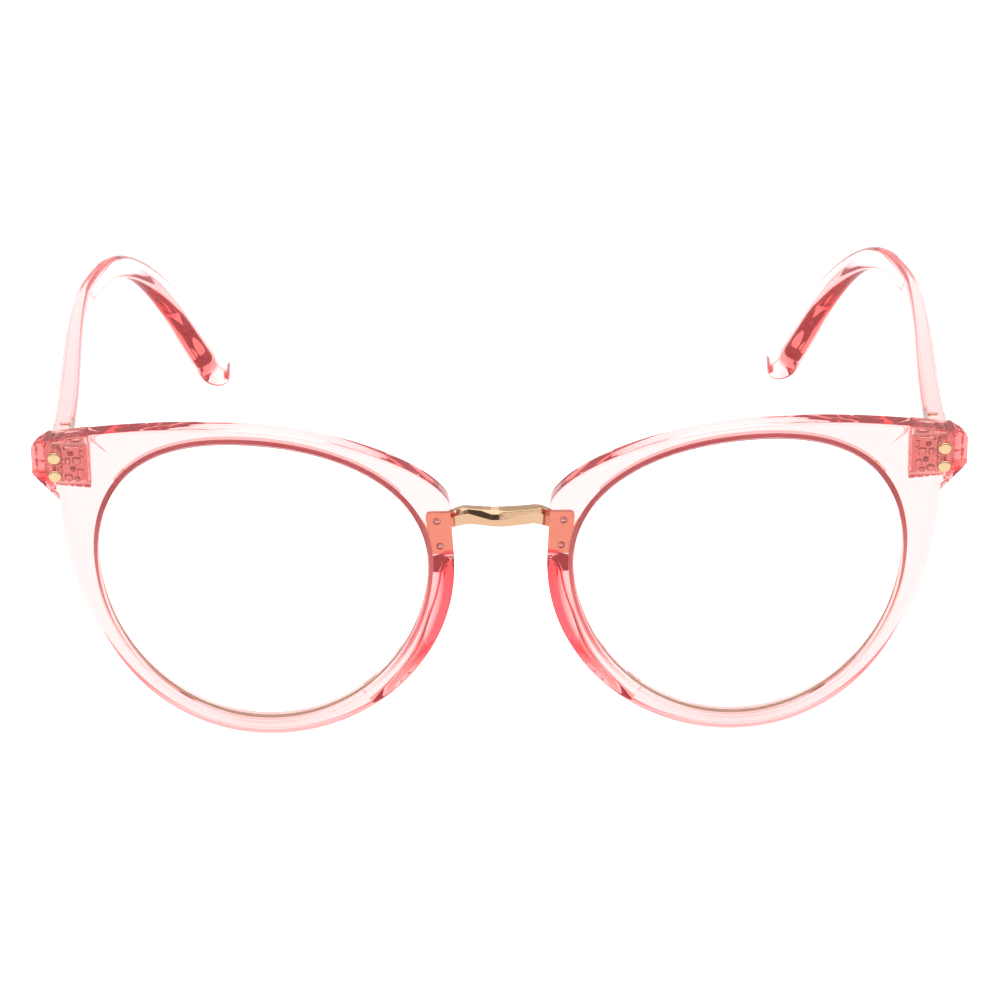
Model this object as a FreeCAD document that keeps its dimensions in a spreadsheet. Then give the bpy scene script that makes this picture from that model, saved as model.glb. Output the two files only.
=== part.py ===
import FreeCAD, Part
import math
import os
import Sketcher

# Round clear plastic glasses with a metal bridge and folding temples.
# Millimetres. +X is the viewer's right, +Y runs back along the temples, +Z is up.
# The right half is built and the left half mirrors it. Height 0 is the table under the rims.

SIZES = {
    "nose_gap": 22.0,            # between the two lens openings
    "lens_width": 50.0,          # lens opening, nose edge to temple edge
    "lens_height": 47.0,         # lens opening, lowest to highest point
    "widest_rise": 26.9,         # opening's widest line above its lowest point
    "crown_reach": 28.5,         # opening's nose edge to its highest point
    "base_reach": 25.4,          # opening's nose edge to its lowest point
    "rim_below": 2.4,            # rim width below the opening
    "rim_above": 2.5,
    "rim_nose": 4.0,
    "rim_depth": 3.4,            # plastic thickness, front to back
    "wrap_radius": 250.0,        # front surface, seen from above
    "face_form": 4.0,            # degrees that each lens turns back towards its temple
    "end_reach": 9.6,            # opening's temple edge to the tip of the end piece
    "end_height": 44.7,          # middle of the end piece's outer side, above the table
    "end_side": 4.0,             # length of that outer side
    "end_crown": 1.6,            # end piece top above its outer side
    "end_slope": 3.9,            # the lower slope's run and drop
    "end_bevel": 1.3,            # bevel on the front of the outer side
    "end_back_bevel": 2.2,       # bevel behind the outer side
    "seat_rise": 1.5,            # raised hinge seat behind the end piece
    "seat_width": 9.3,
    "seat_step": 0.3,            # seat's edge inside the end piece's edge
    "lens_thickness": 1.6,
    "lens_front_lip": 0.9,       # plastic ahead of the lens groove
    "groove_depth": 0.8,
    "lens_clearance": 0.03,
    "pad_rise": 2.6,             # moulded nose pad behind the rim's back face
    "pad_lean": 1.5,             # how far the pad leans away from the nose
    "pad_width": 2.4,
    "pad_top": 30.0,             # top of the nose pad above the table
    "plate_height": 7.1,         # bridge plate
    "plate_width": 3.9,
    "plate_taper": 0.6,          # how much narrower the plate is at its foot
    "plate_thickness": 0.9,
    "bar_height": 3.0,           # bridge bar
    "bar_depth": 2.0,
    "bar_arch": 0.6,             # bar's middle above its ends
    "bar_drop": 1.1,             # bar's middle below the plate's top
    "screw_shank": 1.0,          # bridge screws
    "screw_head": 1.8,
    "screw_head_rise": 0.4,
    "screw_bite": 1.4,           # shank length in the plastic
    "screw_spacing": 4.2,
    "rivet_head": 1.9,           # end piece rivets
    "rivet_rise": 0.45,
    "rivet_shank": 1.1,
    "rivet_spacing": 3.0,
    "rivet_inset": 4.0,          # rivets from the end piece's tip
    "spot_depth": 0.25,          # flat spot under a rivet head
    "hole_clearance": 0.04,      # all round a screw or rivet
    "leaf_thickness": 0.8,       # hinge leaves
    "leaf_height": 6.0,
    "leaf_width": 5.4,
    "leaf_overlap": 0.25,        # leaf plate past the barrel, towards the nose
    "leaf_clearance": 0.05,
    "barrel_radius": 1.5,
    "pin_radius": 0.7,
    "pin_clearance": 0.05,
    "knuckle_gap": 0.05,
    "hinge_height": 43.9,        # middle of the hinge above the table
    "pin_setback": 1.6,          # hinge pin behind the hinge seat
    "pin_inset": 1.2,            # hinge pin from the temple's inner face
    "pin_head": 2.2,
    "pin_head_rise": 0.5,
    "pin_tail": 0.2,
    "sweep_clearance": 0.25,     # temple plastic from the turning barrel
    "temple_gap": 0.15,          # between the end piece and the temple
    "temple_inset": 4.0,         # temple's middle from the end piece's tip
    "temple_straight": 90.0,     # hinge end to the start of the ear bend
    "temple_dip": 6.2,           # degrees
    "ear_radius": 31.0,
    "ear_bend": 65.0,            # degrees
    "tip_length": 12.5,
    "root_height": 5.5,
    "waist_height": 4.0,
    "tip_height": 8.6,
    "root_thickness": 3.5,
    "waist_thickness": 2.3,
    "tip_thickness": 5.3,
    "waist_share": 0.73,         # share of the temple's length where it is slimmest
    "bow": 3.1,                  # temple's outward bow before it turns in
    "bow_share": 0.54,
    "incurve": 19.5,             # how far the tip turns in from the bow
    "incurve_power": 1.6,
    "temple_round": 0.95,        # rounding of the temple's long edges
    "temple_leaf_height": 3.8,
    "temple_leaf_length": 6.6,
    "temple_leaf_start": 1.3,    # leaf plate behind the hinge pin
    "temple_leaf_drop": 0.4,     # leaf's middle below the hinge's middle
    "temple_rivet_spacing": 3.2,
    "temple_rivet_bite": 1.6,
}

doc = FreeCAD.newDocument("glasses")
sheet = doc.addObject("Spreadsheet::Sheet", "Sizes")
for row, (alias, number) in enumerate(SIZES.items(), start=1):
    sheet.set(f"A{row}", alias)
    sheet.set(f"B{row}", str(number))
    sheet.setAlias(f"B{row}", alias)
doc.recompute()


class Size:
    """A number that keeps the spreadsheet formula it is worked out from."""

    def __init__(self, value, formula):
        self.value = float(value)
        self.formula = formula

    def join(self, other, sign, value):
        return Size(value, f"({self.formula} {sign} {as_size(other).formula})")

    def __add__(self, other):
        return self.join(other, "+", self.value + as_size(other).value)

    def __sub__(self, other):
        return self.join(other, "-", self.value - as_size(other).value)

    def __mul__(self, other):
        return self.join(other, "*", self.value * as_size(other).value)

    def __truediv__(self, other):
        return self.join(other, "/", self.value / as_size(other).value)

    def __pow__(self, other):
        return self.join(other, "^", self.value ** as_size(other).value)

    def __neg__(self):
        return as_size(0) - self


def as_size(number):
    return number if isinstance(number, Size) else Size(number, f"{number:.6g}")


def cell(alias):
    """The size in one spreadsheet cell."""
    return Size(sheet.get(alias), f"Sizes.{alias}")


def root_of(size):
    return Size(math.sqrt(size.value), f"sqrt({size.formula})")


def sine(degrees):
    return Size(math.sin(math.radians(degrees.value)), f"sin({degrees.formula})")


def cosine(degrees):
    return Size(math.cos(math.radians(degrees.value)), f"cos({degrees.formula})")


def bind(thing, name, size):
    """Sets a property and binds it to the sheet."""
    thing.setExpression(name, as_size(size).formula)


# ---- places worked out from the sheet -----------------------------------------------------------

nose_edge = cell("nose_gap") / 2
temple_edge = nose_edge + cell("lens_width")
opening_low = cell("rim_below")
opening_high = opening_low + cell("lens_height")
widest = opening_low + cell("widest_rise")
crown = nose_edge + cell("crown_reach")
base = nose_edge + cell("base_reach")
rim_top = opening_high + cell("rim_above")
nose_wall = nose_edge - cell("rim_nose")
lens_middle = nose_edge + cell("lens_width") / 2
wrap_x = lens_middle - cell("wrap_radius") * sine(cell("face_form"))
wrap_y = cell("wrap_radius") * cosine(cell("face_form"))
end_tip = temple_edge + cell("end_reach")
end_low = cell("end_height") - cell("end_side") / 2
end_high = cell("end_height") + cell("end_side") / 2
end_top = end_high + cell("end_crown")
temple_x = end_tip - cell("temple_inset")


def surface_y(across, behind):
    """How far back the wrapped surface lies, a stated distance behind the front one."""
    radius = cell("wrap_radius") - behind
    return wrap_y - root_of(radius ** 2 - (across - wrap_x) ** 2)


temple_length = cell("temple_straight") + cell("ear_radius") * cell("ear_bend") * (math.pi / 180) \
    + cell("tip_length")
seat_y = surface_y(temple_x, cell("rim_depth")) + cell("seat_rise")
pin_x = temple_x - cell("root_thickness") / 2 - cell("pin_inset")
pin_y = seat_y + cell("pin_setback")
plate_top = cell("pad_top") + 0.3 + cell("plate_height")
plate_foot = cell("pad_top") + 0.3
plate_back = surface_y(nose_wall, cell("rim_depth"))
plate_front = plate_back - cell("plate_thickness")
rivet_x = end_tip - cell("rivet_inset")


# ---- drawing helpers ----------------------------------------------------------------------------

def origin_plane(body, role):
    return [item for item in body.Origin.OriginFeatures if item.Role == role][0]


def new_body(name):
    body = doc.addObject("PartDesign::Body", name)
    body.Label = name
    return body


def new_sketch(body, name, role, offset=0):
    """A sketch on one of the body's planes, moved along the plane's normal."""
    sketch = body.newObject("Sketcher::SketchObject", name)
    sketch.AttachmentSupport = [(origin_plane(body, role), "")]
    sketch.MapMode = "FlatFace"
    bind(sketch, "AttachmentOffset.Base.z", offset)
    return sketch


def pin_down(sketch, geometry, end, point):
    """Ties a point of the sketch to its two coordinates."""
    for kind, size in zip(("DistanceX", "DistanceY"), point):
        size = as_size(size)
        index = sketch.addConstraint(Sketcher.Constraint(kind, -1, 1, geometry, end, size.value))
        sketch.setExpression(f"Constraints[{index}]", size.formula)


def vector(point):
    return FreeCAD.Vector(as_size(point[0]).value, as_size(point[1]).value, 0)


def draw_outline(sketch, start, segments):
    """Draws a closed outline. A segment is its end point, or two handles and its end point."""
    first = None
    here = start
    for segment in segments:
        corners = [here] + list(segment)
        if len(segment) == 1:
            geometry = sketch.addGeometry(Part.LineSegment(vector(here), vector(segment[0])))
        else:
            poles = [vector(corner) for corner in corners]
            curve = Part.BSplineCurve(poles, [4, 4], [0, 1], False, 3, [1, 1, 1, 1], False)
            geometry = sketch.addGeometry(curve)
            handle = sketch.GeometryCount
            sketch.exposeInternalGeometry(geometry)
            pin_down(sketch, handle + 1, 3, segment[0])
            pin_down(sketch, handle + 2, 3, segment[1])
        if first is None:
            first = geometry
            pin_down(sketch, geometry, 1, start)
        else:
            sketch.addConstraint(Sketcher.Constraint("Coincident", previous, 2, geometry, 1))
        if segment is segments[-1]:
            sketch.addConstraint(Sketcher.Constraint("Coincident", geometry, 2, first, 1))
        else:
            pin_down(sketch, geometry, 2, segment[-1])
        previous = geometry
        here = segment[-1]


def draw_rectangle(sketch, low, high):
    corners = [(high[0], low[1]), high, (low[0], high[1]), low]
    draw_outline(sketch, low, [[corner] for corner in corners])


def draw_circle(sketch, centre, radius):
    circle = Part.Circle(vector(centre), FreeCAD.Vector(0, 0, 1), as_size(radius).value)
    geometry = sketch.addGeometry(circle)
    pin_down(sketch, geometry, 3, centre)
    index = sketch.addConstraint(Sketcher.Constraint("Radius", geometry, as_size(radius).value))
    sketch.setExpression(f"Constraints[{index}]", as_size(radius).formula)


def add_feature(body, kind, name, sketch, length=None, reversed_way=False):
    """A pad or pocket: of a bound length, or through everything both ways."""
    feature = body.newObject(f"PartDesign::{kind}", name)
    feature.Profile = sketch
    if length is None:
        feature.Type = "ThroughAll"
        feature.SideType = "Symmetric"
    else:
        bind(feature, "Length", length)
        feature.Reversed = reversed_way
    sketch.Visibility = False
    return feature


def quarter(centre, start, end, square):
    """One quarter of a rounded outline: handles stand a stated share of the way to the corner."""
    corner = (start[0] + end[0] - centre[0], start[1] + end[1] - centre[1])
    first = [start[k] + (corner[k] - start[k]) * square for k in (0, 1)]
    second = [end[k] + (corner[k] - end[k]) * square for k in (0, 1)]
    return [first, second, end]


ROUND = 0.5523                   # handle share of a true ellipse
CROWN_TEMPLE_SQUARE = 0.64       # the opening's upper temple corner is squarer
CROWN_NOSE_SQUARE = 0.59


def draw_opening(sketch, grow):
    """The lens opening: four quarters between its extreme points, grown by a distance."""
    nose = (nose_edge - grow, widest)
    top = (crown, opening_high + grow)
    temple = (temple_edge + grow, widest)
    low = (base, opening_low - grow)
    segments = [
        quarter((crown, widest), nose, top, CROWN_NOSE_SQUARE),
        quarter((crown, widest), top, temple, CROWN_TEMPLE_SQUARE),
        quarter((base, widest), temple, low, ROUND),
        quarter((base, widest), low, nose, ROUND),
    ]
    draw_outline(sketch, nose, segments)


def draw_rim_outline(sketch):
    """The rim's outer outline with its end piece."""
    wall_top = plate_top + 1.3
    slope_x = end_tip - cell("end_slope")
    slope_z = end_low - cell("end_slope")
    crown_point = (crown + 1, rim_top)
    low_point = (base, as_size(0))
    crown_x = end_tip - cell("end_crown")
    segments = [
        [(nose_wall, wall_top + 4.6), (nose_wall + 14.6, rim_top), crown_point],
        [(crown + 11, rim_top), (crown_x - 8.6, end_top + 2.3), (crown_x, end_top)],
        [(crown_x + cell("end_crown") * ROUND, end_top - 0.2),
         (end_tip, end_top - cell("end_crown") * ROUND), (end_tip, end_high)],
        [(end_tip, end_low)],
        [(slope_x, slope_z)],
        [(slope_x - 0.6, slope_z * 0.47), (slope_x - 11.2, as_size(0)), low_point],
        quarter((base, cell("pad_top") + 1), low_point, (nose_wall, cell("pad_top") + 1), ROUND),
        [(nose_wall, wall_top)],
    ]
    draw_outline(sketch, (nose_wall, wall_top), segments)


def bent_plate(name, behind, thickness, draw):
    """A plate bent to the wrap of the front, a stated distance behind it, with a drawn outline."""
    body = new_body(name)
    margin = 4
    low_x = nose_wall - margin
    high_x = end_tip + margin
    plan = new_sketch(body, f"{name}_plan", "XY_Plane", -margin)
    arcs = []
    for depth in (behind, behind + thickness):
        radius = cell("wrap_radius") - depth
        circle = Part.Circle(vector((wrap_x, wrap_y)), FreeCAD.Vector(0, 0, 1), radius.value)
        ends = [math.acos((end - wrap_x).value / radius.value) for end in (low_x, high_x)]
        arc = plan.addGeometry(Part.ArcOfCircle(circle, -ends[0], -ends[1]))
        pin_down(plan, arc, 3, (wrap_x, wrap_y))
        index = plan.addConstraint(Sketcher.Constraint("Radius", arc, radius.value))
        plan.setExpression(f"Constraints[{index}]", radius.formula)
        for end, place in ((1, low_x), (2, high_x)):
            index = plan.addConstraint(Sketcher.Constraint("DistanceX", -1, 1, arc, end, place.value))
            plan.setExpression(f"Constraints[{index}]", place.formula)
        arcs.append(arc)
    for end in (1, 2):
        places = [plan.getPoint(arc, end) for arc in arcs]
        line = plan.addGeometry(Part.LineSegment(*places))
        plan.addConstraint(Sketcher.Constraint("Coincident", arcs[0], end, line, 1))
        plan.addConstraint(Sketcher.Constraint("Coincident", arcs[1], end, line, 2))
    add_feature(body, "Pad", f"{name}_sheet", plan, rim_top + 2 * margin)
    trim = new_sketch(body, f"{name}_outline", "XZ_Plane")
    draw_rectangle(trim, (low_x - margin, as_size(-2 * margin)),
                   (high_x + margin, rim_top + 2 * margin))
    draw(trim)
    add_feature(body, "Pocket", f"{name}_trim", trim)
    return body


def place(thing, point, axis=None, angle=0):
    """Sets the placement: the point is counted from the front, the frame's origin is mid depth."""
    if axis is not None:
        thing.Placement = FreeCAD.Placement(FreeCAD.Vector(), FreeCAD.Rotation(axis, angle))
    bind(thing, "Placement.Base.x", point[0])
    bind(thing, "Placement.Base.y", as_size(point[1]) - depth_centre)
    bind(thing, "Placement.Base.z", point[2])


def temple_point(along):
    """Across, back, height and downward tilt of the temple's middle line, a distance along it."""
    straight = cell("temple_straight")
    dip = cell("temple_dip")
    radius = cell("ear_radius")
    bend_end = straight + radius * cell("ear_bend") * (math.pi / 180)
    run = along if along.value < straight.value else straight
    back = seat_y + cell("temple_gap") + run * cosine(dip)
    height = cell("hinge_height") - run * sine(dip)
    tilt = dip
    if along.value > straight.value:
        turned = along if along.value < bend_end.value else bend_end
        tilt = dip + (turned - straight) / radius * (180 / math.pi)
        back = back + radius * (sine(tilt) - sine(dip))
        height = height - radius * (cosine(dip) - cosine(tilt))
    if along.value > bend_end.value:
        back = back + (along - bend_end) * cosine(tilt)
        height = height - (along - bend_end) * sine(tilt)
    bow_length = temple_length * cell("bow_share")
    if along.value < bow_length.value:
        share = along / bow_length
        across = temple_x + cell("bow") * share ** 2 * (-share * 2 + 3)
    else:
        share = (along - bow_length) / (temple_length - bow_length)
        across = temple_x + cell("bow") - cell("incurve") * share ** cell("incurve_power")
    return across, back, height, tilt


def temple_measure(along, root, waist, tip):
    """A measure that eases from its root value to the waist's, then to the tip's."""
    turn = temple_length * cell("waist_share")
    if along.value < turn.value:
        share = along / turn
        first, second = root, waist
    else:
        share = (along - turn) / (temple_length - turn)
        first, second = waist, tip
    return first + (second - first) * (share ** 2 * (-share * 2 + 3))


tip_point = temple_point(temple_length)
depth_centre = (tip_point[1] + sine(tip_point[3]) * cell("tip_height") / 2
                + wrap_y - cell("wrap_radius")) / 2


def turned(name, outline):
    """A turned piece about its own Z axis, from half of its outline."""
    body = new_body(name)
    sketch = new_sketch(body, f"{name}_profile", "XZ_Plane")
    draw_outline(sketch, outline[0], [[corner] for corner in outline[1:] + outline[:1]])
    spin = body.newObject("PartDesign::Revolution", f"{name}_turn")
    spin.Profile = sketch
    spin.ReferenceAxis = (sketch, ["V_Axis"])
    spin.Angle = 360
    sketch.Visibility = False
    return body


def headed_pin(name, shank, length, head, rise):
    """A pin with a pointed end and a low domed head whose underside is at height 0."""
    outline = [
        (as_size(0), -length),
        (shank * 0.6, -length),
        (shank, shank * 0.5 - length),
        (shank, as_size(0)),
        (head, as_size(0)),
        (head, rise * 0.4),
        (head * 0.8, rise * 0.8),
        (head * 0.4, rise),
        (as_size(0), rise),
    ]
    return turned(name, outline)


# ---- the sub-parts ------------------------------------------------------------------------------

def pad_section(body, name, back, lean, inset):
    """One section of the nose pad: a crescent along the rim's nose side, leaning off the nose."""
    sketch = new_sketch(body, name, "XZ_Plane", -back)
    top = cell("pad_top")
    foot_x = nose_wall + (base - nose_wall) * 0.2
    foot_z = top * 0.41
    wall = nose_wall + lean
    width = cell("pad_width") - inset
    start = (wall, top)
    end = (foot_x, foot_z)
    turn = (foot_x + 0.5, foot_z + 0.4)
    corner = (wall + width, top)
    segments = [
        [(wall, top * 0.8), (wall + 2.1, top * 0.59), end],
        [turn],
        [(wall + 2.1 + width * 0.8, top * 0.59), (wall + width, top * 0.8), corner],
        [start],
    ]
    draw_outline(sketch, start, segments)
    return sketch


def screw_centres():
    """The two bridge screws of the right plate."""
    middle_x = nose_wall + (cell("plate_width") - cell("plate_taper") / 2) / 2
    middle_z = plate_foot + cell("plate_height") / 2
    reach = cell("screw_spacing") / 2
    return [(middle_x, middle_z + reach), (middle_x, middle_z - reach)]


def rivet_centres():
    """The two rivets of the right end piece, level with the hinge."""
    reach = cell("rivet_spacing") / 2
    return [(rivet_x, end_rivet_z + reach), (rivet_x, end_rivet_z - reach)]


end_rivet_z = cell("end_height") - 0.5


def draw_plate(sketch, side, grow):
    """The bridge plate's outline on one side; it may run past the nose wall."""
    inner = (nose_wall - grow) * side
    foot = (nose_wall + cell("plate_width") - cell("plate_taper")) * side
    top = (nose_wall + cell("plate_width")) * side
    draw_outline(sketch, (inner, plate_foot),
                 [[(foot, plate_foot)], [(top, plate_top)], [(inner, plate_top)],
                  [(inner, plate_foot)]])


def make_rim():
    body = bent_plate("rim_slab", as_size(0), cell("rim_depth"), draw_rim_outline)
    step = cell("seat_step")
    outer = end_tip - step
    inner = outer - cell("seat_width")
    foot = cell("hinge_height") - cell("leaf_height") / 2 - step * 2
    seat = new_sketch(body, "hinge_seat", "XZ_Plane", -seat_y)
    draw_outline(seat, (inner, foot), [
        [(outer - (end_low - foot), foot)],
        [(outer, end_low)],
        [(outer, end_high - step)],
        [(outer - cell("end_crown"), end_top - step)],
        [(inner, end_top - step)],
        [(inner, foot)],
    ])
    add_feature(body, "Pad", "raised_seat", seat, cell("seat_rise") + 1)
    sections = [
        pad_section(body, "pad_front", as_size(1.2), as_size(0), as_size(0)),
        pad_section(body, "pad_back", plate_back + cell("pad_rise"), cell("pad_lean"),
                    as_size(0.6)),
    ]
    pad = body.newObject("PartDesign::AdditiveLoft", "nose_pad")
    pad.Profile = sections[0]
    pad.Sections = sections[1:]
    pad.Ruled = True
    far = 3
    bevels = new_sketch(body, "end_front_bevel", "XY_Plane")
    near_x = end_tip - cell("end_bevel")
    near_y = surface_y(near_x, 0)
    draw_outline(bevels, (near_x, near_y), [
        [(near_x, near_y - far)],
        [(end_tip + far, near_y - far)],
        [(end_tip + far, near_y + cell("end_bevel") + far)],
        [(near_x, near_y)],
    ])
    add_feature(body, "Pocket", "end_front_bevel_cut", bevels)
    back = new_sketch(body, "end_back_bevel_plan", "XY_Plane")
    back_x = outer - cell("end_back_bevel")
    draw_outline(back, (back_x, seat_y), [
        [(end_tip + far, seat_y - (step + cell("end_back_bevel") + far))],
        [(end_tip + far, seat_y + far)],
        [(back_x, seat_y + far)],
        [(back_x, seat_y)],
    ])
    add_feature(body, "Pocket", "end_back_bevel_cut", back)
    opening = new_sketch(body, "lens_opening", "XZ_Plane")
    draw_opening(opening, 0)
    add_feature(body, "Pocket", "lens_opening_cut", opening)
    plate = new_sketch(body, "plate_seat", "XZ_Plane", -plate_front)
    draw_plate(plate, 1, 2)
    add_feature(body, "Pocket", "plate_seat_cut", plate, as_size(8))
    screws = new_sketch(body, "screw_holes", "XZ_Plane", -plate_front)
    for centre in screw_centres():
        draw_circle(screws, centre, cell("screw_shank") / 2 + cell("hole_clearance"))
    add_feature(body, "Pocket", "screw_holes_cut", screws, cell("screw_bite") + 0.1, True)
    holes = new_sketch(body, "rivet_holes", "XZ_Plane")
    for centre in rivet_centres():
        draw_circle(holes, centre, cell("rivet_shank") / 2 + cell("hole_clearance"))
    add_feature(body, "Pocket", "rivet_holes_cut", holes)
    spots = new_sketch(body, "rivet_spots", "XZ_Plane", -spot_y)
    for centre in rivet_centres():
        draw_circle(spots, centre, cell("rivet_head") / 2 + cell("hole_clearance"))
    add_feature(body, "Pocket", "rivet_spots_cut", spots, as_size(far), True)
    recess = new_sketch(body, "leaf_recess", "XZ_Plane", cell("leaf_thickness") - seat_y)
    gap = cell("leaf_clearance")
    low = (leaf_x - gap, cell("hinge_height") - cell("leaf_height") / 2 - gap)
    high = (leaf_x + cell("leaf_width") + gap,
            cell("hinge_height") + cell("leaf_height") / 2 + gap)
    draw_rectangle(recess, low, high)
    add_feature(body, "Pocket", "leaf_recess_cut", recess, as_size(far))
    place(body, (0, 0, 0))
    gap = cell("lens_clearance")
    tool = bent_plate("groove_tool", cell("lens_front_lip") - gap,
                      cell("lens_thickness") + gap * 2,
                      lambda sketch: draw_opening(sketch, cell("groove_depth") + gap))
    place(tool, (0, 0, 0))
    rim = doc.addObject("Part::Cut", "rim_right")
    rim.Base = body
    rim.Tool = tool
    return rim


spot_y = surface_y(rivet_x, 0) + cell("spot_depth")
leaf_x = pin_x - cell("barrel_radius") - cell("leaf_overlap")


def make_lens():
    lens = bent_plate("lens_right", cell("lens_front_lip"), cell("lens_thickness"),
                      lambda sketch: draw_opening(sketch, cell("groove_depth")))
    place(lens, (0, 0, 0))
    return lens


# Where the bar's facets meet: share of the half span, lift of the section, height of the front
# ridge above the section's middle, and how far the ridge stands proud, as shares of the height.
BAR_FACETS = [
    (-1.0, 0.0, 0.10, 0.10),
    (-0.72, 1.0, 0.30, 0.22),
    (-0.30, 0.9, -0.12, 0.16),
    (0.05, 0.82, -0.30, 0.24),
    (0.42, 0.92, 0.16, 0.15),
    (0.78, 1.0, 0.05, 0.24),
    (1.0, 0.0, -0.05, 0.10),
]


def make_bridge():
    """The hammered bar with a plate at each end."""
    body = new_body("bridge")
    half = cell("bar_height") / 2
    bar_z = plate_top - cell("bar_drop")
    sections = []
    for number, (share, lift, ridge, proud) in enumerate(BAR_FACETS):
        sketch = new_sketch(body, f"bar_section_{number}", "YZ_Plane", nose_wall * share)
        middle = bar_z + (cell("bar_arch") * (lift - 1))
        front = plate_back - cell("bar_depth") + cell("bar_depth") * 0.25
        corners = [
            (plate_back, middle - half),
            (plate_back, middle + half),
            (front, middle + half),
            (front - cell("bar_depth") * proud, middle + half * ridge),
            (front, middle - half),
        ]
        draw_outline(sketch, corners[0], [[corner] for corner in corners[1:] + corners[:1]])
        sections.append(sketch)
    bar = body.newObject("PartDesign::AdditiveLoft", "bar")
    bar.Profile = sections[0]
    bar.Sections = sections[1:]
    bar.Ruled = True
    for side, word in ((1, "right"), (-1, "left")):
        sketch = new_sketch(body, f"plate_{word}", "XZ_Plane", -plate_back)
        draw_plate(sketch, side, 0)
        add_feature(body, "Pad", f"plate_{word}_pad", sketch, cell("plate_thickness"))
    holes = new_sketch(body, "plate_holes", "XZ_Plane")
    for side in (1, -1):
        for across, height in screw_centres():
            draw_circle(holes, (across * side, height),
                        cell("screw_shank") / 2 + cell("hole_clearance"))
    add_feature(body, "Pocket", "plate_holes_cut", holes)
    place(body, (0, 0, 0))
    return body


X_AXIS = FreeCAD.Vector(1, 0, 0)
Y_AXIS = FreeCAD.Vector(0, 1, 0)


def make_bridge_screws():
    screws = []
    for word, (across, height) in zip(("upper", "lower"), screw_centres()):
        screw = headed_pin(f"bridge_screw_{word}_right", cell("screw_shank") / 2,
                           cell("plate_thickness") + cell("screw_bite"),
                           cell("screw_head") / 2, cell("screw_head_rise"))
        place(screw, (across, plate_back, height), X_AXIS, -90)
        screws.append(screw)
    return screws


def make_rivets():
    rivets = []
    for word, (across, height) in zip(("upper", "lower"), rivet_centres()):
        rivet = headed_pin(f"rivet_{word}_right", cell("rivet_shank") / 2, seat_y - spot_y,
                           cell("rivet_head") / 2, cell("rivet_rise") + cell("spot_depth"))
        place(rivet, (across, spot_y, height), X_AXIS, 90)
        rivets.append(rivet)
    return rivets


def add_barrel(body, name, low, high, web_low, web_high):
    """A round barrel about the hinge pin, and the block that ties it to its leaf."""
    plan = new_sketch(body, f"{name}_plan", "XY_Plane", low)
    draw_circle(plan, (pin_x, pin_y), cell("barrel_radius"))
    add_feature(body, "Pad", f"{name}_pad", plan, high - low)
    web = new_sketch(body, f"{name}_web", "XY_Plane", low)
    draw_rectangle(web, web_low, web_high)
    add_feature(body, "Pad", f"{name}_web_pad", web, high - low)


def bore_barrels(body, name, clearance):
    bore = new_sketch(body, f"{name}_bore", "XY_Plane")
    draw_circle(bore, (pin_x, pin_y), cell("pin_radius") + clearance)
    add_feature(body, "Pocket", f"{name}_bore_cut", bore)


def knuckle_heights():
    """Low and high of the lower, middle and upper knuckle."""
    low = cell("hinge_height") - cell("leaf_height") / 2
    each = (cell("leaf_height") - cell("knuckle_gap") * 2) / 3
    step = each + cell("knuckle_gap")
    return [(low + step * number, low + step * number + each) for number in range(3)]


def make_front_leaf():
    """The plate let into the hinge seat, with two knuckles."""
    body = new_body("front_hinge_leaf_right")
    plate = new_sketch(body, "front_leaf_outline", "XZ_Plane", -seat_y)
    low = (leaf_x, cell("hinge_height") - cell("leaf_height") / 2)
    high = (leaf_x + cell("leaf_width"), cell("hinge_height") + cell("leaf_height") / 2)
    draw_rectangle(plate, low, high)
    add_feature(body, "Pad", "front_leaf_plate", plate, cell("leaf_thickness"))
    heights = knuckle_heights()
    web_low = (pin_x - cell("barrel_radius"), seat_y - cell("leaf_thickness") / 2)
    web_high = (pin_x + cell("pin_inset") - cell("sweep_clearance"), pin_y)
    for number in (0, 2):
        add_barrel(body, f"front_knuckle_{number}", heights[number][0], heights[number][1],
                   web_low, web_high)
    bore_barrels(body, "front_leaf", cell("pin_clearance"))
    holes = new_sketch(body, "front_leaf_rivet_holes", "XZ_Plane")
    for centre in rivet_centres():
        draw_circle(holes, centre, cell("rivet_shank") / 2 + cell("hole_clearance"))
    add_feature(body, "Pocket", "front_leaf_rivet_cut", holes)
    place(body, (0, 0, 0))
    return body


def temple_rivet_centres():
    """Back and height of the temple leaf's two rivets."""
    middle = pin_y + cell("temple_leaf_start") + cell("temple_leaf_length") / 2 + 0.4
    height = cell("hinge_height") - cell("temple_leaf_drop")
    reach = cell("temple_rivet_spacing") / 2
    return [(middle - reach, height), (middle + reach, height)]


inner_face = temple_x - cell("root_thickness") / 2


def make_temple_leaf():
    """The plate let into the temple's inner face, with the middle knuckle."""
    body = new_body("temple_hinge_leaf_right")
    gap = cell("leaf_clearance")
    plate = new_sketch(body, "temple_leaf_outline", "YZ_Plane", inner_face + gap)
    start = pin_y + cell("temple_leaf_start")
    middle = cell("hinge_height") - cell("temple_leaf_drop")
    half = cell("temple_leaf_height") / 2
    draw_rectangle(plate, (start, middle - half),
                   (start + cell("temple_leaf_length"), middle + half))
    add_feature(body, "Pad", "temple_leaf_plate", plate, cell("leaf_thickness"))
    low, high = knuckle_heights()[1]
    add_barrel(body, "temple_knuckle", low, high, (pin_x, pin_y),
               (inner_face + gap + cell("leaf_thickness"), start + 0.6))
    bore_barrels(body, "temple_leaf", cell("pin_clearance"))
    holes = new_sketch(body, "temple_leaf_rivet_holes", "YZ_Plane", inner_face - 1)
    for centre in temple_rivet_centres():
        draw_circle(holes, centre, cell("rivet_shank") / 2 + cell("hole_clearance"))
    add_feature(body, "Pocket", "temple_leaf_rivet_cut", holes, as_size(4), True)
    place(body, (0, 0, 0))
    return body


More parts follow.
